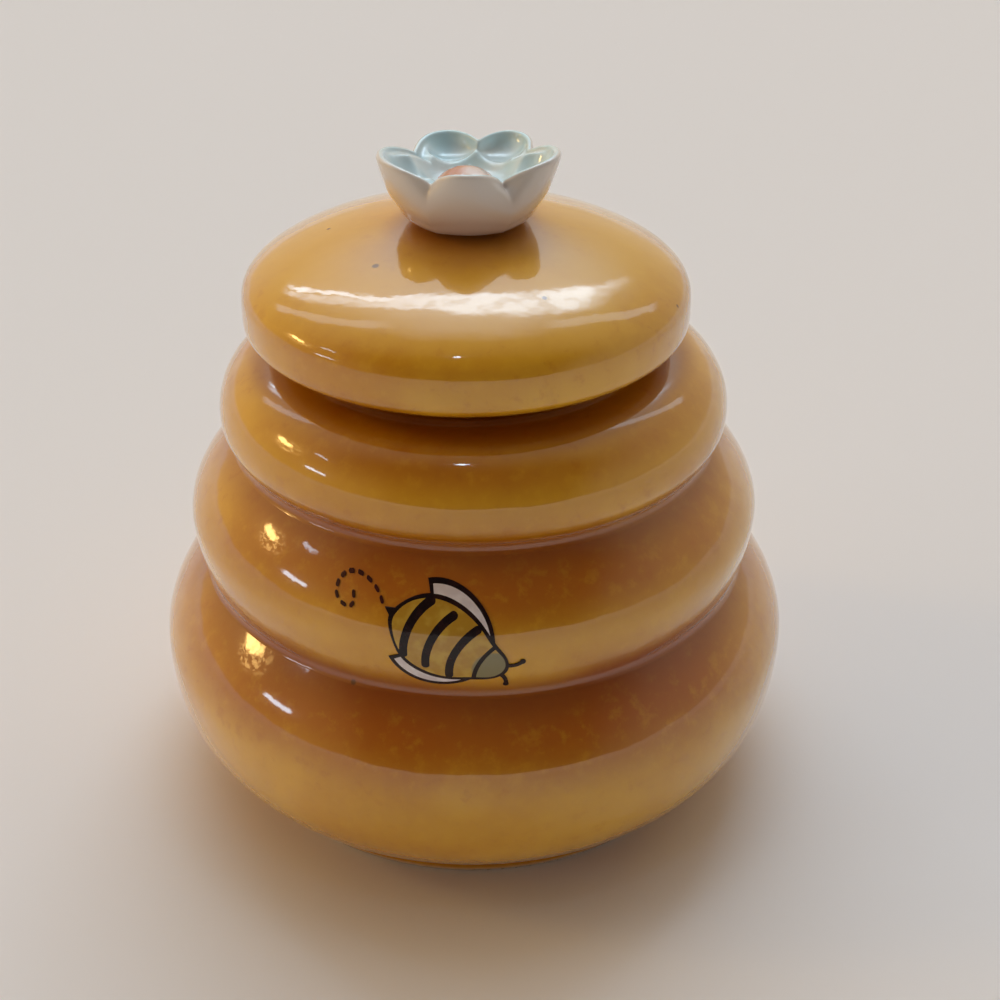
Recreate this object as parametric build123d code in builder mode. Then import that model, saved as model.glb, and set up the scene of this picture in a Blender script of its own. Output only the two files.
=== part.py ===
from build123d import *
import os
from math import cos, degrees, dist, radians, sin

# A beehive-shaped honey pot: a ringed jar, its lift-off lid, a flower knob and a fired-on bee.
# Millimetres. The origin is at the middle of the foot, +Z is up, and the bee faces -Y.
# Every outline lies in the XZ plane and is turned about the jar's axis or the lid's.

# ---- Driving dimensions -------------------------------------------------------------------

# Jar: the radius of the widest ring, and how much narrower each ring above it is.
belly_radius = 40.0
middle_step = 4.7
top_step = 4.45
lid_step = 4.45

# Jar: heights from the table up, each added to the one before.
foot_height = 2.3
belly_drop = 16.45
belly_rise = 10.85
middle_drop = 7.2
middle_rise = 9.15
top_drop = 3.65
top_rise = 7.8

# Jar: the two creases lie this far inside the narrower ring above them.
low_crease_depth = 1.65
high_crease_depth = 2.15
crease_fillet = 1.0

# Flanks: how far in each rounded flank would reach if it ran on to its flat end, and how full
# it is. A fullness of 2 is an ellipse, and more is squarer.
belly_reach = 30.05
belly_drop_fullness = 2.57
belly_rise_fullness = 1.82
middle_reach = 15.9
middle_drop_fullness = 2.0
middle_rise_fullness = 1.62
top_reach = 9.8
top_drop_fullness = 2.0
top_rise_fullness = 2.1

# Points along each outline, closer together where it turns most.
flank_steps = 8
flank_crowding = 2
lid_steps = 14
lid_crowding = 3

# No rounding takes more than this share of the wall that it is on.
rounding_share = 0.45
edge_tolerance = 0.001

# Whole, half and quarter turns, in degrees.
full_turn = 360.0
half_turn = 180.0
quarter_turn = 90.0

# Jar: wall, floor, foot ring and mouth. The inner flank would run on a little past the floor
# before it was level.
wall = 4.0
floor = 4.5
foot_inset = 8.7
foot_width = 4.0
foot_recess = 1.8
foot_rounding = 0.6
floor_reach = 13.7
floor_run_on = 0.4
mouth_radius = 18.8
rim_width = 2.3
rim_rounding = 0.7
lip_depth = 4.6

# Lid.
lid_foot_height = 1.35
lid_foot_rounding = 0.6
lid_drop = 2.7
lid_drop_reach = 6.4
lid_drop_fullness = 2.0
lid_roll = 5.2
lid_roll_fullness = 6.5
lid_crown = 5.9
lid_wall = 3.8
lid_hollow_rounding = 0.7
flange_depth = 6.05
flange_width = 2.3
flange_rounding = 0.7
lid_play = 1.1
lid_side_gap = 0.3

# Flower knob and its centre.
petal_count = 5
first_petal = -90.0
flower_foot_radius = 4.55
flower_height = 7.6
bowl_heel_inset = 3.3
bowl_heel_height = 0.75
bowl_side_inset = 1.1
bowl_side_height = 4.25
bowl_foot_slope = 0.2
petal_radius = 4.25
petal_distance = 6.3
petal_flare = 0.5
dish_radius = 3.3
dish_raise = 0.35
cup_floor_radius = 3.9
cup_rim_radius = 6.3
cup_depth = 3.45
notch_radius = 2.6
notch_depth = 0.9
centre_radius = 3.2
centre_side = 0.5
centre_dome = 1.4

# Bee: the fired-on picture lies on the middle ring. Its own X runs from tail to head.
bee_x = -3.3
bee_rise = 0.45
bee_heading = -28.0
film = 0.12
ink_width = 0.45
tail_x = -6.1
face_x = 7.2
side_outline = ((-5.3, 1.9), (-3.2, 3.6), (-0.6, 4.2), (2.6, 3.55), (4.9, 2.3), (6.7, 1.25))
stripe_places = (-4.3, -1.6, 1.3)
stripe_width = 0.9
stripe_bend = 6.3
stripe_spread = 32.0
brow_place = 4.3
brow_width = 0.5
wing_x = -0.7
wing_reach = 5.6
wing_start = 31.0
wing_end = 124.0
feeler_length = 1.35
feeler_bend = 1.2
feeler_early_share = 0.25
feeler_root = 0.75
feeler_tip_radius = 0.32
sting_length = 1.2
sting_width = 1.4

# Trail: dashes along the bee's looping flight, as places from the middle of the bee.
flight_path = ((-6.8, 4.0), (-8.1, 5.5), (-9.9, 5.9), (-11.5, 4.9), (-11.7, 3.4), (-10.6, 2.8), (-9.9, 4.0))
dash_count = 11
dash_length = 0.68
dash_width = 0.36

# ---- Places that follow from them ---------------------------------------------------------

middle_radius = belly_radius - middle_step
top_radius = middle_radius - top_step
lid_radius = top_radius - lid_step

belly_z = foot_height + belly_drop
low_crease_z = belly_z + belly_rise
middle_z = low_crease_z + middle_drop
high_crease_z = middle_z + middle_rise
top_z = high_crease_z + top_drop
seat_z = top_z + top_rise

low_crease_radius = middle_radius - low_crease_depth
high_crease_radius = top_radius - high_crease_depth
foot_radius = belly_radius - foot_inset
foot_hollow_radius = foot_radius - foot_width
floor_z = foot_recess + floor
rim_radius = mouth_radius + rim_width
lip_z = seat_z - lip_depth

lid_x = lid_side_gap - lid_play
lid_axis = Axis((lid_x, 0, 0), (0, 0, 1))
lid_plane = Plane(origin=(lid_x, 0, 0), x_dir=(1, 0, 0), z_dir=(0, -1, 0))
lid_foot_radius = rim_radius
flange_radius = mouth_radius - lid_play
flange_bore = flange_radius - flange_width
lid_underside_z = seat_z + lid_foot_height
lid_z = lid_underside_z + lid_drop


def flank(widest, end, reach, fullness):
    """Points of a rounded flank along a superellipse, from its widest circle to its end.

    Where the reach is shorter than the way to the end, they stop at the flank's flat end, level
    with the end, and a flat face is left for the rest of the way.
    """
    radius, height = widest
    end_radius, end_height = end
    last = max(0.0, 1 - (radius - end_radius) / reach)
    rise = (end_height - height) / (1 - last**fullness) ** (1 / fullness)
    points = []
    for step in range(flank_steps + 1):
        along = 1 - (1 - last) * (step / flank_steps) ** flank_crowding
        lift = (1 - along**fullness) ** (1 / fullness)
        points.append((radius - reach * (1 - along), height + rise * lift))
    return points


def tier(low_end, widest, high_end, reach, drop_fullness, rise_fullness):
    """Points of one ring's side, from its lower end over its widest circle to its upper end."""
    below = flank(widest, low_end, reach, drop_fullness)
    above = flank(widest, high_end, reach, rise_fullness)
    return below[::-1] + above[1:]


def dome(radius, height, roll, crown, end_radius):
    """Points over the lid's top: a full shoulder with a low crown on it, in to end_radius."""
    last = end_radius / radius
    points = []
    for step in range(lid_steps + 1):
        share = 1 - (1 - last) * (step / lid_steps) ** lid_crowding
        lift = roll * (1 - share**lid_roll_fullness) ** (1 / lid_roll_fullness)
        points.append((share * radius, height + lift + crown * (1 - share**2)))
    return points


def without_repeats(*points):
    """The points of an outline, without any that lies on the one before it."""
    kept = [points[0]]
    for point in points[1:]:
        if dist(point, kept[-1]) > edge_tolerance:
            kept.append(point)
    return kept


def rounding(size, wall_there):
    """A rounding of the given size, limited by the wall that it is on."""
    return min(size, rounding_share * wall_there)


def ring_edges(part, radius, height):
    """The part's circular edges of one radius at one height."""
    circles = part.edges().filter_by(GeomType.CIRCLE)
    circles = circles.filter_by(lambda edge: abs(edge.radius - radius) < edge_tolerance)
    return circles.filter_by(lambda edge: abs(edge.arc_center.Z - height) < edge_tolerance)


# ---- Jar ----------------------------------------------------------------------------------

foot_top = (foot_radius, foot_height)
low_crease = (low_crease_radius, low_crease_z)
high_crease = (high_crease_radius, high_crease_z)
rim_edge = (rim_radius, seat_z)
belly_side = tier(foot_top, (belly_radius, belly_z), low_crease,
                  belly_reach, belly_drop_fullness, belly_rise_fullness)
middle_side = tier(low_crease, (middle_radius, middle_z), high_crease,
                   middle_reach, middle_drop_fullness, middle_rise_fullness)
top_side = tier(high_crease, (top_radius, top_z), rim_edge,
                top_reach, top_drop_fullness, top_rise_fullness)
inside_radius = belly_radius - wall
floor_edge_radius = inside_radius - floor_reach
low_inside = flank((inside_radius, belly_z), (floor_edge_radius, floor_z),
                   floor_reach + floor_run_on, belly_drop_fullness)

with BuildPart() as pot_body:
    with BuildSketch(Plane.XZ):
        with BuildLine():
            Polyline((foot_hollow_radius, 0), (foot_radius, 0), foot_top)
            Spline(*belly_side)
            Spline(*middle_side)
            Spline(*top_side)
            Polyline(top_side[-1], (mouth_radius, seat_z), (mouth_radius, lip_z))
            Spline(
                (mouth_radius, lip_z),
                (top_radius - wall, top_z),
                (high_crease_radius - wall, high_crease_z),
                (middle_radius - wall, middle_z),
                (low_crease_radius - wall, low_crease_z),
                *low_inside,
            )
            Polyline(
                (floor_edge_radius, floor_z),
                (0, floor_z),
                (0, foot_recess),
                (foot_hollow_radius, foot_recess),
                (foot_hollow_radius, 0),
            )
        make_face()
    revolve(axis=Axis.Z)
    fillet(ring_edges(pot_body, low_crease_radius, low_crease_z), crease_fillet)
    fillet(ring_edges(pot_body, high_crease_radius, high_crease_z), crease_fillet)
    fillet(ring_edges(pot_body, mouth_radius, seat_z), rounding(rim_rounding, rim_width))
    foot_round = rounding(foot_rounding, min(foot_width, foot_recess, foot_height))
    fillet(ring_edges(pot_body, foot_radius, 0), foot_round)
    fillet(ring_edges(pot_body, foot_hollow_radius, 0), foot_round)
pot_body.part.label = "pot_body"

# ---- Lid ----------------------------------------------------------------------------------

lid_foot_top = (lid_foot_radius, lid_underside_z)
lid_under = flank((lid_radius, lid_z), lid_foot_top, lid_drop_reach, lid_drop_fullness)
lid_over = dome(lid_radius, lid_z, lid_roll, lid_crown, flower_foot_radius)
lid_inside = dome(lid_radius - lid_wall, lid_z, lid_roll - lid_wall, lid_crown, 0)
pad_z = lid_over[-1][1]
flange_z = seat_z - flange_depth

with BuildPart() as lid:
    with BuildSketch(lid_plane):
        with BuildLine():
            lid_foot_side = ((flange_radius, seat_z), (lid_foot_radius, seat_z), lid_foot_top)
            Polyline(*without_repeats(*lid_foot_side, lid_under[-1]))
            Spline(*(lid_under[::-1] + lid_over[1:]))
            Polyline((flower_foot_radius, pad_z), (0, pad_z), lid_inside[-1])
            Spline(*lid_inside[::-1])
            Polyline(
                lid_inside[0],
                (flange_bore, lid_underside_z),
                (flange_bore, flange_z),
                (flange_radius, flange_z),
                (flange_radius, seat_z),
            )
        make_face()
    revolve(axis=lid_axis)
    lid_foot_round = rounding(lid_foot_rounding, lid_foot_height)
    fillet(ring_edges(lid, lid_foot_radius, seat_z), lid_foot_round)
    fillet(ring_edges(lid, lid_foot_radius, lid_underside_z), lid_foot_round)
    flange_round = rounding(flange_rounding, flange_width)
    fillet(ring_edges(lid, flange_radius, flange_z), flange_round)
    fillet(ring_edges(lid, flange_bore, flange_z), flange_round)
    hollow_round = rounding(lid_hollow_rounding, lid_roll - lid_wall)
    fillet(ring_edges(lid, lid_radius - lid_wall, lid_z), hollow_round)
lid.part.label = "lid"

# ---- Flower knob --------------------------------------------------------------------------

petal_turn = full_turn / petal_count
flower_plane = Plane(origin=(lid_x, 0, pad_z), x_dir=(1, 0, 0), z_dir=(0, 0, 1))
flower_section = Plane(origin=(lid_x, 0, pad_z), x_dir=(1, 0, 0), z_dir=(0, -1, 0))
bowl_rim_radius = petal_distance + petal_radius
petal_foot_radius = petal_radius + petal_flare * flower_height
cup_floor_z = flower_height - cup_depth
notch_z = flower_height - notch_depth + notch_radius
down_from_top = (Align.CENTER, Align.CENTER, Align.MAX)

with BuildPart() as flower_knob:
    with Locations(flower_plane.offset(flower_height)):
        Cylinder(petal_distance, flower_height, align=down_from_top)
        with PolarLocations(petal_distance, petal_count, start_angle=first_petal):
            Cone(petal_foot_radius, petal_radius, flower_height, align=down_from_top)
    with BuildSketch(flower_section):
        with BuildLine():
            Line((0, 0), (flower_foot_radius, 0))
            Spline(
                (flower_foot_radius, 0),
                (bowl_rim_radius - bowl_heel_inset, bowl_heel_height),
                (bowl_rim_radius - bowl_side_inset, bowl_side_height),
                (bowl_rim_radius, flower_height),
                tangents=[(1, bowl_foot_slope), (bowl_side_inset, flower_height - bowl_side_height)],
            )
            Polyline((bowl_rim_radius, flower_height), (0, flower_height), (0, 0))
        make_face()
    revolve(axis=lid_axis, mode=Mode.INTERSECT)
    with Locations(flower_plane.offset(flower_height + dish_raise)):
        with PolarLocations(petal_distance, petal_count, start_angle=first_petal):
            Sphere(dish_radius, mode=Mode.SUBTRACT)
    with BuildSketch(flower_section):
        with BuildLine():
            Line((0, cup_floor_z), (cup_floor_radius, cup_floor_z))
            Spline(
                (cup_floor_radius, cup_floor_z),
                (cup_rim_radius, flower_height),
                tangents=[(1, 0), (0, 1)],
            )
            Polyline((cup_rim_radius, flower_height), (0, flower_height), (0, cup_floor_z))
        make_face()
    revolve(axis=lid_axis, mode=Mode.SUBTRACT)
    with Locations(flower_plane.offset(notch_z)):
        with PolarLocations(petal_distance, petal_count, start_angle=first_petal + petal_turn / 2):
            Cylinder(notch_radius, 2 * petal_distance, rotation=(0, quarter_turn, 0),
                     mode=Mode.SUBTRACT)
flower_knob.part.label = "flower_knob"

with BuildPart() as flower_centre:
    with BuildSketch(flower_section):
        with BuildLine():
            side_z = cup_floor_z + centre_side
            Polyline((0, cup_floor_z), (centre_radius, cup_floor_z), (centre_radius, side_z))
            TangentArc((0, side_z + centre_dome), (centre_radius, side_z), tangent=(1, 0))
            Line((0, side_z + centre_dome), (0, cup_floor_z))
        make_face()
    revolve(axis=lid_axis)
flower_centre.part.label = "flower_centre"

# ---- Bee ----------------------------------------------------------------------------------

bee_z = middle_z + bee_rise
bee_facing = Plane(origin=(bee_x, 0, bee_z), x_dir=(1, 0, 0), z_dir=(0, -1, 0))
bee_way = (cos(radians(bee_heading)), 0, sin(radians(bee_heading)))
bee_plane = Plane(origin=(bee_x, 0, bee_z), x_dir=bee_way, z_dir=(0, -1, 0))
film_side = [(radius + film, height) for radius, height in middle_side]


def torso(grow=0.0, mode=Mode.ADD):
    """The bee's body and head in one outline, larger all round by grow."""
    upper = [(place, half_width + grow) for place, half_width in side_outline]
    lower = [(place, -half_width) for place, half_width in upper[::-1]]
    tail, face = (tail_x - grow, 0), (face_x + grow, 0)
    with BuildSketch(mode=Mode.PRIVATE) as outline:
        with BuildLine():
            Spline(tail, *upper, face, *lower, periodic=True)
        make_face()
    add(outline.sketch, mode=mode)


def wings(grow=0.0):
    """One folded wing along each side of the body, larger all round by grow."""
    reach = wing_reach + grow
    spread = degrees(grow / wing_reach)
    for side in (1, -1):
        start, end = side * (wing_start - spread), side * (wing_end + spread)
        with BuildSketch(mode=Mode.PRIVATE) as outline:
            with BuildLine():
                edge = CenterArc((wing_x, 0), reach, start, end - start)
                Polyline(edge @ 1, (wing_x, 0), edge @ 0)
            make_face()
        add(outline.sketch)


def bow(place, width):
    """A bowed stroke across the bee."""
    middle = (place + stripe_bend, 0)
    band = CenterArc(middle, stripe_bend, half_turn - stripe_spread, 2 * stripe_spread)
    SlotArc(band, width)


def lay_film(drawing, plane):
    """Wrap a drawing on the front of the middle ring, as a film of even depth."""
    with BuildPart() as picture:
        with BuildSketch(plane):
            add(drawing.sketch)
        extrude(amount=belly_radius)
        with BuildSketch(Plane.XZ):
            with BuildLine():
                Spline(*middle_side)
                Line(middle_side[-1], film_side[-1])
                Spline(*film_side[::-1])
                Line(film_side[0], middle_side[0])
            make_face()
        revolve(axis=Axis.Z, mode=Mode.INTERSECT)
    return picture


with BuildSketch() as stripes_drawing:
    for place in stripe_places:
        bow(place, stripe_width)
    bow(brow_place, brow_width)
    torso(mode=Mode.INTERSECT)

with BuildSketch() as body_drawing:
    torso()
    add(stripes_drawing.sketch, mode=Mode.SUBTRACT)

with BuildSketch() as wings_drawing:
    wings()
    torso(grow=ink_width, mode=Mode.SUBTRACT)

with BuildSketch() as ink_drawing:
    wings(grow=ink_width)
    torso(grow=ink_width)
    for side in (1, -1):
        start = (face_x, side * feeler_root)
        bend = (face_x + feeler_length / 2, side * (feeler_root + feeler_bend * feeler_early_share))
        tip = (face_x + feeler_length, side * (feeler_root + feeler_bend))
        SlotArc(ThreePointArc(start, bend, tip), ink_width)
        with Locations(tip):
            Circle(feeler_tip_radius)
    with BuildLine():
        Polyline((tail_x, sting_width / 2), (tail_x - sting_length, 0),
                 (tail_x, -sting_width / 2), close=True)
    make_face()
    add(body_drawing.sketch, mode=Mode.SUBTRACT)
    add(wings_drawing.sketch, mode=Mode.SUBTRACT)

flight = Spline(*flight_path)
with BuildSketch() as trail_drawing:
    for dash in range(dash_count):
        share = dash / (dash_count - 1)
        with Locations(flight.position_at(share)):
            SlotOverall(dash_length, dash_width, rotation=flight.tangent_angle_at(share))

bee_body = lay_film(body_drawing, bee_plane)
bee_body.part.label = "bee_body"
bee_wings = lay_film(wings_drawing, bee_plane)
bee_wings.part.label = "bee_wings"
bee_ink = lay_film(ink_drawing, bee_plane)
bee_ink.part.label = "bee_ink"
bee_trail = lay_film(trail_drawing, bee_facing)
bee_trail.part.label = "bee_trail"

pieces = (pot_body, lid, flower_knob, flower_centre, bee_body, bee_wings, bee_ink, bee_trail)

os.makedirs("parts", exist_ok=True)
for piece in pieces:
    export_step(piece.part, f"parts/{piece.part.label}.step")
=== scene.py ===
from math import cos, exp, log, pi, radians, sin

import bpy
from mathutils import Matrix, Vector


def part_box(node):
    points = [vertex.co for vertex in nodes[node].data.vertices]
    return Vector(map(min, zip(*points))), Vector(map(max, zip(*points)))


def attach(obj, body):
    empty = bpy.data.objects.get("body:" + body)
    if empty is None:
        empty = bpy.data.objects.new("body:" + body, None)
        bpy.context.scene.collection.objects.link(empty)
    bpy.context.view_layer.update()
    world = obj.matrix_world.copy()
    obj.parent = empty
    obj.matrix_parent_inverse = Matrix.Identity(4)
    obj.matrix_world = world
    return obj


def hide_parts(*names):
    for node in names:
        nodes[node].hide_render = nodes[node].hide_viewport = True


# Looks of a beehive honey pot: honey glaze on the jar and lid, a white flower knob, a printed bee.
# Metres, in the frame of the CAD model: +Z is up and the bee faces -Y.

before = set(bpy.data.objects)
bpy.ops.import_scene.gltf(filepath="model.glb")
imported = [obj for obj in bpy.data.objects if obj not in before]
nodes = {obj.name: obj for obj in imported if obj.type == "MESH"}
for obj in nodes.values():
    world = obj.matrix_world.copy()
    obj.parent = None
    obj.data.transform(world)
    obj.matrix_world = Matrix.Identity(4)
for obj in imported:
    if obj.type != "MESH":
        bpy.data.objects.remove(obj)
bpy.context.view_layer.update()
MM = 0.001

# ---- Driving values -----------------------------------------------------------------------

# Camera: where it stands, and in degrees how far it turns from +Y, tilts up and rolls.
CAMERA_PLACE = (0.0, -0.171307, 0.139217)
CAMERA_TURN = -1.088
CAMERA_TILT = -31.508
CAMERA_ROLL = 0.25
CAMERA_LENS = 56.56
SENSOR_WIDTH = 36.0
CAMERA_NEAREST = 0.005

# Honey glaze, linear colours. It is dark and red where it pools, with painted shade in the creases,
# at the foot and under the lid, and pale where it runs thin, with painted light on the lid's top.
HONEY = (0.66, 0.300, 0.006, 1)
HONEY_THIN_AND_LIT = (0.80, 0.430, 0.020, 1)
HONEY_DEEP_AND_SHADE = (0.44, 0.100, 0.001, 1)
HONEY_POOLED_AND_SHADE = (0.30, 0.052, 0.001, 1)
SPECK = (0.09, 0.03, 0.008, 1)
BARE_CLAY = (0.60, 0.47, 0.34, 1)
GLAZE_IOR = 1.65
BASE_SPECULAR = 0.2
GLAZE_WAVE_DEPTH = 0.00022
# Sizes (metres) of the glaze's clouds, slow drifts, runs, mottling, waves and fine grain.
CLOUD_SIZE = 0.019
DRIFT_SIZE = 0.034
RUN_SIZE = 0.0045
MOTTLE_SIZE = 0.0021
WAVE_SIZE = 0.012
GRAIN_SIZE = 0.0022
GRAIN_SHARE = 0.09
# Painted shadow and painted dark reflection of the flower on the lid round its foot: the place, and
# how far out it starts and ends.
FLOWER_SHADOW_PLACE = (-0.0004, -0.0025, 0.0723)
FLOWER_SHADOW_REACH = (0.0040, 0.0110)
# Heights between which the glaze gives way to bare clay at the foot.
GLAZE_LINE = (0.00035, 0.0009)

# White glaze of the flower and its one blue-grey speck, with painted shade and the lid's painted
# reflection outside and painted daylight inside.
WHITE = (0.86, 0.90, 0.91, 1)
WHITE_POOLED_AND_LIT = (0.60, 0.87, 0.98, 1)
WHITE_COOL_LIT = (0.76, 0.92, 0.98, 1)
WHITE_SHADED_WARM = (0.60, 0.44, 0.34, 1)
PETAL_SPECK = (0.20, 0.25, 0.36, 1)
PETAL_SPECK_PLACE = (-0.00623, 0.00316, 0.0779)

# Peach glaze of the flower's centre, with a painted highlight on its top.
PEACH = (0.62, 0.25, 0.13, 1)
PEACH_THIN = (0.80, 0.48, 0.34, 1)
PEACH_HIGHLIGHT = (0.88, 0.74, 0.68, 1)
PEACH_HIGHLIGHT_PLACE = (0.0006, -0.0010, 0.0783)

# Print: two shades of each colour.
BLACK_INK = ((0.010, 0.004, 0.005, 1), (0.028, 0.009, 0.008, 1))
MAROON_INK = ((0.030, 0.004, 0.005, 1), (0.060, 0.010, 0.008, 1))
WING_PRINT = ((0.76, 0.69, 0.72, 1), (0.88, 0.83, 0.86, 1))
BODY_PRINT = ((0.50, 0.27, 0.016, 1), (0.62, 0.39, 0.040, 1))
HEAD_PRINT = (0.24, 0.21, 0.09, 1)
BEE_HEAD = (0.0020, -0.0351, 0.0341)
INK_COAT = 0.3

FLOOR = (0.84, 0.83, 0.84, 1)
FLOOR_SIZE = 6.0

# Flower, in millimetres: its own middle on the lid, and half the thickness of its rim.
FLOWER_MIDDLE = (-0.55, 0.0)
RIM_HALF = 0.45
# Each petal's tip, in order round the flower: direction (degrees), reach and height.
TIPS = (
    (-93, 9.25, 80.8),
    (-14, 10.2, 80.85),
    (57, 10.5, 79.7),
    (107, 9.95, 79.55),
    (200, 10.05, 80.7),
)
# The valley after each tip: direction, reach and height.
VALLEYS = (
    (-58, 7.0, 78.75),
    (29.5, 8.25, 79.05),
    (80, 7.2, 79.2),
    (141, 8.0, 78.5),
    (241, 8.15, 79.0),
)
# How the rim's reach and height fall away from a tip to a valley.
RIM_REACH_POWER = 1.4
RIM_HEIGHT_POWER = 2.3
# The dish in each petal: floor, place, half-width and reach inwards.
DISHES = (
    (77.5, 6.3, 3.3, 3.4),
    (77.1, 6.3, 4.0, 3.8),
    (77.2, 6.5, 3.4, 2.3),
    (77.1, 6.4, 3.4, 2.3),
    (77.1, 6.2, 4.0, 3.8),
)
DISH_POWER = 2.6
DISH_BELOW_TIP = 0.5
# Outside of the wall at a full petal, from the foot up: reach, and share of the way to the rim.
WALL = ((4.55, 0.0), (5.7, 0.018), (6.6, 0.05), (7.2, 0.095), (7.75, 0.17), (8.2, 0.27),
        (8.8, 0.385), (9.4, 0.515), (9.95, 0.68), (10.5, 0.86), (10.85, 1.0))
# The petals part above this share of the wall. Below the rim the valleys fill out to a reach.
LOBE_START = 0.35
LOBE_POWER = 1.3
VALLEY_FILL = 8.9
VALLEY_FILL_POWER = 8
# The cup in the middle: its floor, and how its wall rises.
CUP_FLOOR = 76.52
CUP_FLOOR_REACH = 3.95
CUP_WALL_RISE = 2.3
CUP_WALL_RUN = 2.4
CUP_WALL_POWER = 1.5
# The inside keeps this far below the rim, from this far inside it.
RIM_DROP = 0.35
RIM_DROP_RUN = 0.5
# Steps round the flower, and along its wall's runs, its rim and its inside.
FLOWER_STEPS = 240
WALL_STEPS = 3
RIM_STEPS = 8
CUP_STEPS = 30
CUP_CROWDING = 1.15

# Body of the record that the scene's own flower rides on.
LID_BODY = "lid"

# Specks in the glaze (metres) and their radius.
LID_SPECKS = (((-0.01686, 0.00182, 0.07029), 0.00035), ((-0.01075, -0.0103, 0.07078), 0.00055),
              ((0.00762, -0.01634, 0.0696), 0.0004), ((0.0229, -0.00992, 0.06568), 0.0003),
              ((0.0121, 0.0148, 0.0704), 0.0004))
JAR_SPECKS = (((-0.01373, -0.03111, 0.02936), 0.00045), ((0.0251, 0.0242, 0.0402), 0.0004),
              ((-0.0312, 0.0221, 0.0236), 0.0005))

# Room round the pot. A direction is an azimuth and an elevation in degrees, seen from the pot:
# azimuth 0 is the camera's side and 90 is +X.
DARK_ROOM = (0.045, 0.036, 0.032, 1)
PALE_WALL = (0.44, 0.35, 0.26, 1)
LOW_WALL = (0.46, 0.43, 0.41, 1)
SIDE_LEFT = (0.66, 0.42, 0.16, 1)
SIDE_RIGHT = (0.36, 0.31, 0.25, 1)
SIDE_SHARE = 0.8
WINDOW_LIGHT = (0.66, 0.84, 1.0, 1)
LAMP_LIGHT = (1.0, 0.62, 0.20, 1)
ROOM_STRENGTH = 1.6
# The window is a strip on a cone round this direction. Its edges, in degrees off the axis, lie at
# these places at the left, and move by these amounts towards the right.
WINDOW_AXIS = (180, 30)
WINDOW_EDGES = (27.5, 28.5, 32.0, 33.5)
WINDOW_SPREAD = (-3.0, -1.8, 1.5, 4.0)
WINDOW_LEFT, WINDOW_RIGHT = 3.9, 3.8
WINDOW_SEAM = 29.8
WINDOW_MOTTLE = 14.0
# Fainter light on the same cone, at the sides and below the window, and a glow overhead.
SIDE_STRIPS = 0.8
BELOW_WINDOW = 0.45
OVERHEAD = (180, 50)
OVERHEAD_GLOW = 0.85
# Small lights: level bars (direction, half-width, half-height, softness and strength), and round
# ones (direction, half-width, softness and strength).
PALE_BARS = (((-73, 17), 4.5, 0.7, 1.2, 6.0), ((-82, 38), 3.0, 0.4, 0.8, 3.5))
CEILING_SPOT = ((-14, 80), 0.9, 0.6, 12.0)
LAMP_BAR = ((-99, 27), 3.2, 1.2, 1.2, 11.0)
LAMP_HALO = ((-95, 25), 4.0, 5.0, 3.6)
LAMP_GRAIN = 40.0


# ---- Small node helpers -------------------------------------------------------------------

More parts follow.
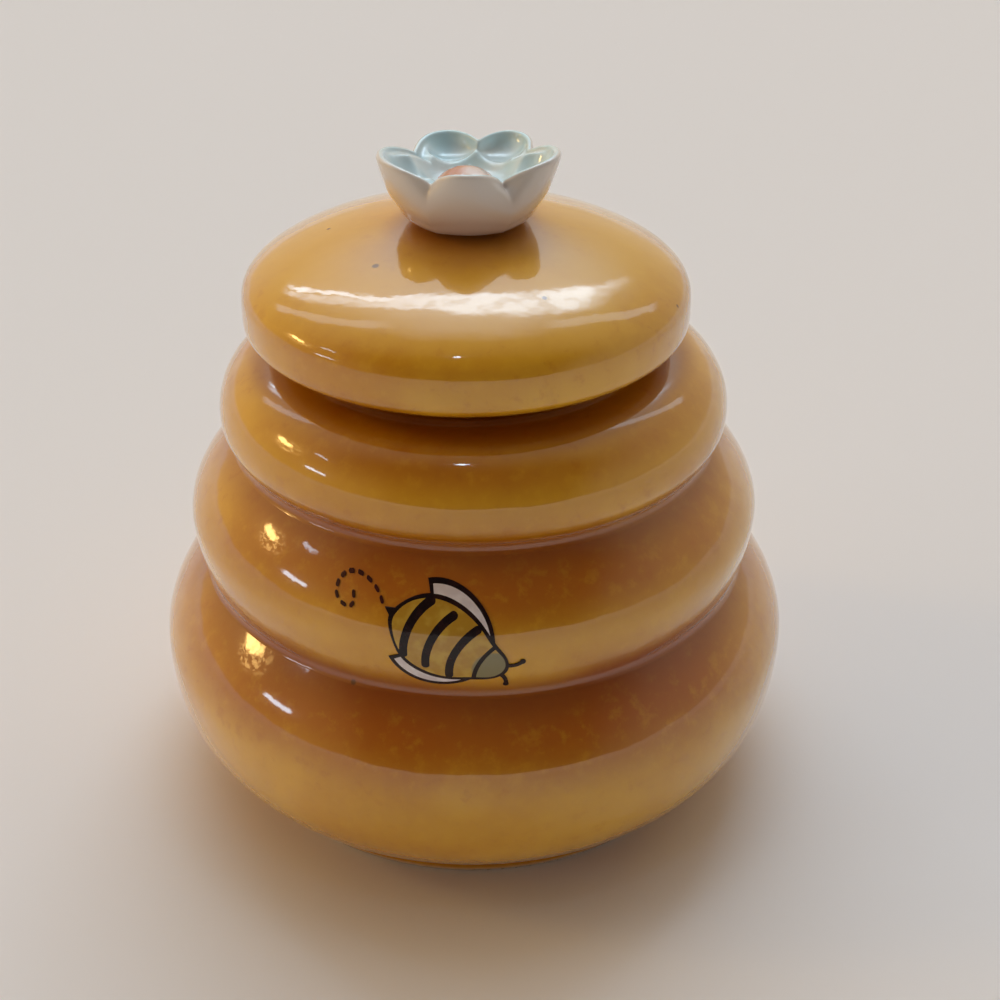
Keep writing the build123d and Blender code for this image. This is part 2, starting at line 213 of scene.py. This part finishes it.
class Nodes:
    """One material's node tree, with short ways to add to it."""

    def __init__(self, name):
        self.material = bpy.data.materials.new(name)
        self.material.use_nodes = True
        self.tree = self.material.node_tree
        self.shader = self.tree.nodes["Principled BSDF"]
        self.place = self.add("ShaderNodeTexCoord").outputs["Object"]

    def add(self, kind, **values):
        node = self.tree.nodes.new(kind)
        for key, value in values.items():
            setattr(node, key, value)
        return node

    def link(self, source, target):
        self.tree.links.new(source, target)

    def feed(self, value, socket):
        """Sets a socket to a number or colour, or links it to another socket."""
        if isinstance(value, (int, float, tuple)):
            socket.default_value = value
        else:
            self.link(value, socket)

    def math(self, operation, first, second=0.0, clamp=False):
        node = self.add("ShaderNodeMath", operation=operation, use_clamp=clamp)
        self.feed(first, node.inputs[0])
        self.feed(second, node.inputs[1])
        return node.outputs[0]

    def axis(self, name):
        node = self.add("ShaderNodeSeparateXYZ")
        self.link(self.place, node.inputs[0])
        return node.outputs[name]

    def noise(self, size, detail=2.0, stretch=(1, 1, 1), roughness=0.5):
        """Noise from 0 to 1 whose features are about size metres across."""
        mapping = self.add("ShaderNodeMapping")
        mapping.inputs["Scale"].default_value = stretch
        self.link(self.place, mapping.inputs["Vector"])
        noise = self.add("ShaderNodeTexNoise")
        noise.inputs["Scale"].default_value = 1 / size
        noise.inputs["Detail"].default_value = detail
        noise.inputs["Roughness"].default_value = roughness
        self.link(mapping.outputs["Vector"], noise.inputs["Vector"])
        return noise.outputs["Fac"]

    def ramp(self, value, low, high, first=0.0, last=1.0):
        """first below low and last above high, smoothly between."""
        node = self.add("ShaderNodeMapRange", interpolation_type="SMOOTHSTEP")
        self.feed(value, node.inputs["Value"])
        self.feed(low, node.inputs["From Min"])
        self.feed(high, node.inputs["From Max"])
        node.inputs["To Min"].default_value = first
        node.inputs["To Max"].default_value = last
        return node.outputs["Result"]

    def fade(self, value, low, high):
        """1 below low and 0 above high, smoothly between."""
        return self.ramp(value, low, high, 1.0, 0.0)

    def band(self, value, middle, reach):
        """1 at middle, falling smoothly to 0 at reach on either side."""
        away = self.math("ABSOLUTE", self.math("SUBTRACT", value, middle))
        return self.math("SUBTRACT", 1.0, self.ramp(away, 0.0, reach))

    def mix(self, share, first, second):
        node = self.add("ShaderNodeMix", data_type="RGBA")
        self.feed(share, node.inputs[0])
        self.feed(first, node.inputs[6])
        self.feed(second, node.inputs[7])
        return node.outputs[2]

    def scale(self, factor, *values):
        """Product of two or more values."""
        for value in values:
            factor = self.math("MULTIPLY", factor, value)
        return factor

    def total(self, first, *others):
        """Sum of two or more values."""
        for other in others:
            first = self.math("ADD", first, other)
        return first

    def distance(self, place):
        away = self.add("ShaderNodeVectorMath", operation="DISTANCE")
        self.link(self.place, away.inputs[0])
        away.inputs[1].default_value = place
        return away.outputs["Value"]

    def bump(self, height, depth):
        node = self.add("ShaderNodeBump")
        node.inputs["Distance"].default_value = depth
        self.link(height, node.inputs["Height"])
        self.link(node.outputs["Normal"], self.shader.inputs["Normal"])
        self.link(node.outputs["Normal"], self.shader.inputs["Coat Normal"])

    def finish(self, color, roughness, coat_roughness=0.03, coat_ior=1.5, coat=1.0):
        self.feed(color, self.shader.inputs["Base Color"])
        self.feed(roughness, self.shader.inputs["Roughness"])
        self.shader.inputs["Specular IOR Level"].default_value = BASE_SPECULAR
        self.shader.inputs["Coat Weight"].default_value = coat
        self.shader.inputs["Coat Roughness"].default_value = coat_roughness
        self.shader.inputs["Coat IOR"].default_value = coat_ior
        return self.material


class Sky(Nodes):
    """The room round the pot, told by the direction from which its light comes."""

    def __init__(self, name):
        self.world = bpy.data.worlds.new(name)
        self.world.use_nodes = True
        self.tree = self.world.node_tree
        self.shader = self.tree.nodes["Background"]
        self.place = self.add("ShaderNodeTexCoord").outputs["Generated"]

    def angle(self, azimuth, elevation):
        """Angle to a direction, in degrees."""
        node = self.add("ShaderNodeVectorMath", operation="DOT_PRODUCT")
        self.link(self.place, node.inputs[0])
        node.inputs[1].default_value = tuple(heading(azimuth, elevation))
        return self.math("DEGREES", self.math("ARCCOSINE", node.outputs["Value"]))

    def grain(self, fineness):
        """Noise from 0 to 1 over the directions."""
        noise = self.add("ShaderNodeTexNoise")
        noise.inputs["Scale"].default_value = fineness
        self.link(self.place, noise.inputs["Vector"])
        return noise.outputs["Fac"]

    def spot(self, azimuth, elevation, reach, soft):
        """1 within reach degrees of a direction, falling to 0 over soft degrees more."""
        return self.fade(self.angle(azimuth, elevation), reach, reach + soft)

    def bar(self, azimuth, elevation, reach, half_height, soft):
        """A level bar of light, reach degrees to each side of its middle."""
        middle, edge = sin(radians(elevation)), sin(radians(half_height))
        off = self.math("ABSOLUTE", self.math("SUBTRACT", self.axis("Z"), middle))
        level = self.fade(off, edge, edge + sin(radians(soft)))
        return self.scale(level, self.spot(azimuth, elevation, reach, soft * 2))


def heading(azimuth, elevation):
    """Unit vector towards a light."""
    turn, lift = radians(azimuth), radians(elevation)
    return Vector((sin(turn) * cos(lift), -cos(turn) * cos(lift), sin(lift)))


def dress(piece, material):
    """Gives an object one material in every slot."""
    piece.data.materials.clear()
    piece.data.materials.append(material)


# ---- Flower knob --------------------------------------------------------------------------

def petal_at(angle):
    """A direction's petal, how far it is from tip (0) to valley (1), and which valley that is."""
    for number, (tip, _, _) in enumerate(TIPS):
        after = VALLEYS[number][0]
        before = VALLEYS[number - 1][0]
        away = (angle - tip + 180) % 360 - 180
        last = (after - tip) % 360
        first = (before - tip) % 360 - 360
        if 0 <= away <= last:
            return number, away / last, number
        if first <= away < 0:
            return number, away / first, number - 1
    raise ValueError("no petal at this direction")


def rim_at(angle):
    """Reach and height of the rim's crest."""
    number, share, valley = petal_at(angle)
    _, tip_reach, tip_height = TIPS[number]
    _, low_reach, low_height = VALLEYS[valley]
    reach = low_reach + (tip_reach - low_reach) * (1 - share ** 2) ** RIM_REACH_POWER
    height = low_height + (tip_height - low_height) * (1 - share ** RIM_HEIGHT_POWER)
    return reach, height


def smooth_path(points, count):
    """A Catmull-Rom line through points, with count points to each run."""
    ends = (points[0], *points, points[-1])
    path = []
    for start in range(len(points) - 1):
        a, b, c, d = (Vector(point) for point in ends[start:start + 4])
        for step in range(count):
            t = step / count
            path.append(0.5 * (2 * b + (c - a) * t + (2 * a - 5 * b + 4 * c - d) * t ** 2
                               + (3 * b - a - 3 * c + d) * t ** 3))
    return path + [Vector(points[-1])]


def soft_lowest(*heights):
    """Lowest of some heights, blended where they cross, as glaze rounds an edge."""
    sharpness = 5.0
    total = sum(exp(-sharpness * (height - CUP_FLOOR)) for height in heights)
    return CUP_FLOOR - log(total) / sharpness


def floor_at(x, y):
    """Height of the flower's inside, from its cup and its five dishes."""
    reach = (x * x + y * y) ** 0.5
    up_the_wall = max(0.0, (reach - CUP_FLOOR_REACH) / CUP_WALL_RUN)
    heights = [CUP_FLOOR + CUP_WALL_RISE * up_the_wall ** CUP_WALL_POWER]
    for (tip, tip_reach, tip_height), (low, middle, half, inward) in zip(TIPS, DISHES):
        turn = radians(tip)
        along = x * cos(turn) + y * sin(turn) - middle
        across = -x * sin(turn) + y * cos(turn)
        depth = tip_reach - RIM_HALF - middle if along > 0 else inward
        away = ((along / depth) ** 2 + (across / half) ** 2) ** 0.5
        heights.append(low + (tip_height - DISH_BELOW_TIP - low) * away ** DISH_POWER)
    return max(CUP_FLOOR, soft_lowest(*heights))


def flower_rows(angle, foot):
    """Reach and height of the flower's surface, from the middle of its foot round to its cup."""
    reach, crest = rim_at(angle)
    outer, full = reach + RIM_HALF, WALL[-1][0]
    low = crest - RIM_HALF
    broad = log(exp(2 * outer) + exp(2 * VALLEY_FILL)) / 2
    rows = [(0.0, foot), (WALL[0][0] / 2, foot)]
    for wall, share in smooth_path(WALL, WALL_STEPS):
        lobe = max(0.0, (share - LOBE_START) / (1 - LOBE_START)) ** LOBE_POWER
        edge = broad + (outer - broad) * share ** VALLEY_FILL_POWER
        rows.append((wall * (1 - lobe * (1 - edge / full)), foot + share * (low - foot)))
    for step in range(1, RIM_STEPS + 1):
        turn = pi * step / RIM_STEPS
        rows.append((reach + RIM_HALF * cos(turn), low + RIM_HALF * sin(turn)))
    inner, turn = reach - RIM_HALF, radians(angle)
    for step in range(1, CUP_STEPS + 1):
        place = inner * (1 - step / CUP_STEPS) ** CUP_CROWDING
        height = floor_at(place * cos(turn), place * sin(turn))
        drop = RIM_DROP * min(1.0, (inner - place) / RIM_DROP_RUN)
        rows.append((place, min(height, low - drop)))
    return rows


def make_flower():
    """A five-petal cup, closed underneath, in place of the CAD flower."""
    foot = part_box("flower_knob")[0][2] / MM
    middle_x, middle_y = FLOWER_MIDDLE
    verts, faces = [], []
    for step in range(FLOWER_STEPS):
        angle = 360 * step / FLOWER_STEPS - 180
        across, along = cos(radians(angle)), sin(radians(angle))
        rows = flower_rows(angle, foot)
        for reach, height in rows[1:-1]:
            x, y = middle_x + reach * across, middle_y + reach * along
            verts.append((x * MM, y * MM, height * MM))
    per_ring = len(rows) - 2
    under, over = len(verts), len(verts) + 1
    verts.append((middle_x * MM, middle_y * MM, foot * MM))
    verts.append((middle_x * MM, middle_y * MM, CUP_FLOOR * MM))
    rim_row = WALL_STEPS * (len(WALL) - 1) + RIM_STEPS // 2
    for step in range(FLOWER_STEPS):
        here, there = step * per_ring, (step + 1) % FLOWER_STEPS * per_ring
        faces.append((under, there, here))
        for row in range(per_ring - 1):
            faces.append((here + row, there + row, there + row + 1, here + row + 1))
        faces.append((here + per_ring - 1, there + per_ring - 1, over))
    mesh = bpy.data.meshes.new("flower_petals")
    mesh.from_pydata(verts, [], faces)
    mesh.validate()
    mesh.shade_smooth()
    inside = mesh.attributes.new("inside", "FLOAT", "POINT")
    for number, vertex in enumerate(inside.data):
        vertex.value = float(number >= under or number % per_ring > rim_row)
    flower = bpy.data.objects.new("flower_petals", mesh)
    bpy.context.scene.collection.objects.link(flower)
    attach(flower, LID_BODY)
    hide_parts("flower_knob")
    return flower


# ---- Materials ----------------------------------------------------------------------------

def honey_glaze(name, pools_and_shade, deeps_and_shade, thin_and_lit_bands, specks, flower_shadow=0.0):
    """Amber glaze. Pools (pooled glaze with painted shade), deeps (thicker glaze with painted
    shade) and thin bands (thin glaze, and painted light on the lid's top) are (height, reach,
    strength); specks are (place, radius).
    """
    n = Nodes(name)
    height = n.axis("Z")
    cloud = n.noise(CLOUD_SIZE, 3.0)
    drift = n.noise(DRIFT_SIZE, 1.0, (1, 1, 0.6))
    run = n.noise(RUN_SIZE, 3.0, (1, 1, 0.25))
    wobble = n.scale(n.math("SUBTRACT", cloud, 0.5), 0.0026)
    level = n.total(height, wobble)
    # Painted shade: the deep and pooled tones are stronger at the front and the back than at the
    # two sides.
    off_side = n.math("ABSOLUTE", n.total(n.axis("Y"), wobble))
    front_back_shade = n.ramp(off_side, 0.010, 0.030, 0.25, 1.0)

    color = n.mix(n.ramp(cloud, 0.40, 0.66), HONEY, HONEY_THIN_AND_LIT)
    color = n.mix(n.scale(n.ramp(drift, 0.50, 0.72), 0.22), color, HONEY_POOLED_AND_SHADE)
    color = n.mix(n.scale(n.ramp(run, 0.52, 0.80), 0.14), color, HONEY_POOLED_AND_SHADE)
    # Darker bands on each ring's upper part, under the ring above: partly thicker glaze, partly
    # painted shade.
    for middle, reach, strength in deeps_and_shade:
        color = n.mix(n.scale(n.band(level, middle, reach), strength, front_back_shade), color, HONEY_DEEP_AND_SHADE)
    mottle = n.noise(MOTTLE_SIZE, 4.0, roughness=0.65)
    color = n.mix(n.ramp(mottle, 0.50, 0.72, 0.0, 0.30), color, HONEY_THIN_AND_LIT)
    color = n.mix(n.ramp(mottle, 0.30, 0.46, 0.22, 0.0), color, HONEY_DEEP_AND_SHADE)
    # Paler bands: thin glaze on the jar's rings; on the lid's top, painted light.
    for middle, reach, strength in thin_and_lit_bands:
        color = n.mix(n.scale(n.band(level, middle, reach), strength), color, HONEY_THIN_AND_LIT)
    half_front_back_shade = n.total(n.scale(front_back_shade, 0.5), 0.5)
    # Pooled glaze with painted shade, darkening the creases, the foot, the seat and the lid's
    # underside.
    for middle, reach, strength in pools_and_shade:
        pool_and_shade = n.scale(n.band(level, middle, reach), strength, half_front_back_shade)
        color = n.mix(pool_and_shade, color, HONEY_POOLED_AND_SHADE)
    for place, radius in specks:
        color = n.mix(n.ramp(n.distance(place), radius * 0.4, radius, 0.8, 0.0), color, SPECK)
    # Painted shadow and dark reflection of the flower, darkening the lid round its foot.
    if flower_shadow:
        near = n.ramp(n.distance(FLOWER_SHADOW_PLACE), *FLOWER_SHADOW_REACH, flower_shadow, 0.0)
        color = n.mix(near, color, HONEY_POOLED_AND_SHADE)
    color = n.mix(n.fade(height, *GLAZE_LINE), color, BARE_CLAY)
    waves = n.total(n.noise(WAVE_SIZE, 1.0), n.scale(n.noise(GRAIN_SIZE, 2.0), GRAIN_SHARE))
    n.bump(waves, GLAZE_WAVE_DEPTH)
    roughness = n.ramp(cloud, 0.3, 0.7, 0.24, 0.16)
    return n.finish(color, roughness, coat_roughness=0.02, coat_ior=GLAZE_IOR)


def white_glaze():
    """White glaze: the cup's inside brighter and bluer with painted daylight, over blue where the
    glaze pools; the outside darker and warmer towards the foot with painted shade and the lid's
    painted reflection.
    """
    n = Nodes("white_glaze")
    cloud = n.noise(0.006, 2.0)
    level = n.total(n.axis("Z"), n.scale(n.math("SUBTRACT", cloud, 0.5), 0.0012))
    inside = n.add("ShaderNodeAttribute", attribute_name="inside").outputs["Fac"]
    # Painted shade and the lid's painted reflection: the outside darkens and warms towards the
    # foot.
    outer = n.mix(n.ramp(level, 0.0730, 0.0800, 0.95, 0.35), WHITE, WHITE_SHADED_WARM)
    # Painted daylight: the cup's inside is brighter and bluer than the outside, over the blue of
    # pooled glaze.
    inner = n.mix(n.ramp(cloud, 0.35, 0.65), WHITE_POOLED_AND_LIT, WHITE_COOL_LIT)
    speck = n.ramp(n.distance(PETAL_SPECK_PLACE), 0.0001, 0.0004, 0.7, 0.0)
    color = n.mix(speck, n.mix(inside, outer, inner), PETAL_SPECK)
    n.bump(n.noise(0.0045, 1.0), 0.00010)
    return n.finish(color, 0.2)


def peach_glaze():
    """Peach glaze, paler where it runs thin, with a painted highlight on its top."""
    n = Nodes("peach_glaze")
    color = n.mix(n.ramp(n.noise(0.0024, 2.0), 0.4, 0.7), PEACH, PEACH_THIN)
    # Painted highlight on the top of the centre.
    color = n.mix(n.ramp(n.distance(PEACH_HIGHLIGHT_PLACE), 0.0008, 0.0024, 0.85, 0.0), color, PEACH_HIGHLIGHT)
    n.bump(n.noise(0.0016, 2.0), 0.00025)
    return n.finish(color, 0.24, coat_roughness=0.05)


def print_ink(name, shades, coat=1.0):
    """Fired-on print; the dark inks are duller than the glaze around them."""
    n = Nodes(name)
    color = n.mix(n.ramp(n.noise(0.0014, 2.0), 0.40, 0.72), *shades)
    n.bump(n.noise(0.0009, 1.0), 0.00003)
    return n.finish(color, 0.25, coat=coat)


def body_print():
    """Ochre print, with the greyer olive of the head."""
    n = Nodes("yellow_print")
    color = n.mix(n.ramp(n.noise(0.0016, 2.0), 0.40, 0.72), *BODY_PRINT)
    color = n.mix(n.fade(n.distance(BEE_HEAD), 0.0022, 0.0026), color, HEAD_PRINT)
    return n.finish(color, 0.25, coat_ior=GLAZE_IOR)


jar_glaze = honey_glaze(
    "honey_glaze_jar",
    # Pools at the creases, the foot and the lid's seat: pooled glaze with painted shade.
    pools_and_shade=((0.0296, 0.0042, 0.80), (0.0459, 0.0038, 0.75), (0.0022, 0.0022, 0.75),
           (0.0574, 0.0018, 0.95)),
    deeps_and_shade=((0.0262, 0.0075, 0.85), (0.0425, 0.0065, 0.75), (0.0540, 0.0045, 0.45)),
    thin_and_lit_bands=((0.0150, 0.0070, 0.5), (0.0365, 0.0045, 0.5), (0.0520, 0.0030, 0.5)),
    specks=JAR_SPECKS,
)
lid_glaze = honey_glaze(
    "honey_glaze_lid",
    # Pools under the lid's edge and round the flower's foot: pooled glaze with painted shade.
    pools_and_shade=((0.0586, 0.0036, 0.95), (0.0726, 0.0009, 0.75)),
    deeps_and_shade=((0.0660, 0.0040, 0.30),),
    # Painted light: the lid's top is made paler, as light falls on it.
    thin_and_lit_bands=((0.0695, 0.0036, 0.8),),
    specks=LID_SPECKS,
    flower_shadow=0.45,
)

flower = make_flower()
dress(flower, white_glaze())
dress(nodes["pot_body"], jar_glaze)
dress(nodes["lid"], lid_glaze)
dress(nodes["flower_centre"], peach_glaze())
dress(nodes["bee_body"], body_print())
dress(nodes["bee_wings"], print_ink("white_print", WING_PRINT))
dress(nodes["bee_ink"], print_ink("black_print", BLACK_INK, INK_COAT))
dress(nodes["bee_trail"], print_ink("maroon_print", MAROON_INK, INK_COAT))


# ---- Stage, light and camera --------------------------------------------------------------

def add_floor():
    bpy.ops.mesh.primitive_plane_add(size=FLOOR_SIZE, location=(0, 0, 0))
    floor = bpy.context.object
    floor.name = "floor"
    n = Nodes("floor")
    n.shader.inputs["Roughness"].default_value = 0.85
    n.shader.inputs["Base Color"].default_value = FLOOR
    dress(floor, n.material)


def room_color(n, x, y, z):
    """The walls: dark in front, pale behind, and coloured at the two sides."""
    color = n.mix(n.ramp(y, -0.35, 0.35), DARK_ROOM, PALE_WALL)
    color = n.mix(n.ramp(x, -0.95, -0.45, SIDE_SHARE, 0.0), color, SIDE_LEFT)
    color = n.mix(n.ramp(x, 0.55, 0.95, 0.0, SIDE_SHARE), color, SIDE_RIGHT)
    return n.mix(n.fade(z, 0.05, 0.07), color, LOW_WALL)


def window_strip(n, off, x, z):
    """The window: a strip that widens to the right, and is split by a seam at the left."""
    side = n.ramp(x, -0.35, 0.20)
    edges = [n.total(edge, n.scale(side, by)) for edge, by in zip(WINDOW_EDGES, WINDOW_SPREAD)]
    ends = n.scale(n.ramp(z, 0.47, 0.55), n.fade(x, 0.33, 0.46))
    strip = n.scale(n.ramp(off, *edges[:2]), n.fade(off, *edges[2:]), ends)
    strip = n.scale(strip, n.ramp(x, -0.1, 0.30, WINDOW_LEFT, WINDOW_RIGHT))
    dim_lower = n.scale(n.ramp(off, 29.4, 29.8), n.ramp(x, -0.45, -0.05, 0.55, 0.0))
    seam = n.scale(n.band(off, WINDOW_SEAM, 0.5), n.ramp(x, -0.45, -0.15, 0.5, 0.0))
    strip = n.scale(strip, n.math("SUBTRACT", 1.0, n.total(dim_lower, seam), clamp=True))
    return n.scale(strip, n.ramp(n.grain(WINDOW_MOTTLE), 0.35, 0.55, 0.55, 1.0))


def window_tail(n, off, x, z):
    """Fainter light below the window, and a thin strip at each side of it."""
    middle = n.fade(n.math("ABSOLUTE", x), 0.12, 0.40)
    strips = n.scale(n.ramp(off, 38.8, 39.8), n.fade(off, 43.0, 44.5))
    sides = n.scale(strips, n.ramp(middle, 0.0, 0.6, SIDE_STRIPS, 0.0))
    below = n.scale(n.ramp(off, 32.0, 34.0), n.fade(off, 42.0, 54.0), middle, BELOW_WINDOW)
    return n.scale(n.total(sides, below), n.ramp(z, 0.46, 0.52))


def lit_bar(n, direction, *shape):
    """A level bar of light; its last number is its strength."""
    return n.scale(n.bar(*direction, *shape[:-1]), shape[-1])


def lit_spot(n, direction, *shape):
    """A round light; its last number is its strength."""
    return n.scale(n.spot(*direction, *shape[:-1]), shape[-1])


def glow(n, color, light, amount):
    """Adds a light of one colour to what is there."""
    scaled = n.add("ShaderNodeVectorMath", operation="SCALE")
    scaled.inputs[0].default_value = light[:3]
    n.link(amount, scaled.inputs["Scale"])
    total = n.add("ShaderNodeVectorMath", operation="ADD")
    n.link(color, total.inputs[0])
    n.link(scaled.outputs["Vector"], total.inputs[1])
    return total.outputs["Vector"]


def add_world():
    """The room: its walls, the window behind the pot, small pale lights and a lamp at the left."""
    n = Sky("room")
    bpy.context.scene.world = n.world
    x, y, z = n.axis("X"), n.axis("Y"), n.axis("Z")
    off = n.angle(*WINDOW_AXIS)
    overhead = n.scale(n.spot(*OVERHEAD, 8, 28), OVERHEAD_GLOW)
    pale = [lit_bar(n, *bar) for bar in PALE_BARS] + [lit_spot(n, *CEILING_SPOT)]
    daylight = n.total(window_strip(n, off, x, z), window_tail(n, off, x, z), overhead, *pale)
    halo = n.scale(lit_spot(n, *LAMP_HALO), n.ramp(n.grain(LAMP_GRAIN), 0.45, 0.60))
    lamp = n.total(lit_bar(n, *LAMP_BAR), halo)

    color = glow(n, room_color(n, x, y, z), WINDOW_LIGHT, daylight)
    color = glow(n, color, LAMP_LIGHT, lamp)
    n.link(color, n.shader.inputs["Color"])
    n.shader.inputs["Strength"].default_value = ROOM_STRENGTH


def add_camera():
    data = bpy.data.cameras.new("camera")
    data.lens = CAMERA_LENS
    data.sensor_width = SENSOR_WIDTH
    data.clip_start = CAMERA_NEAREST
    camera = bpy.data.objects.new("camera", data)
    turn = Matrix.Rotation(radians(CAMERA_TURN), 4, "Z")
    tilt = Matrix.Rotation(radians(90 + CAMERA_TILT), 4, "X")
    roll = Matrix.Rotation(radians(CAMERA_ROLL), 4, "Z")
    camera.matrix_world = Matrix.Translation(CAMERA_PLACE) @ turn @ tilt @ roll
    bpy.context.scene.collection.objects.link(camera)
    bpy.context.scene.camera = camera


add_floor()
add_world()
add_camera()
bpy.context.scene.view_settings.view_transform = "Standard"
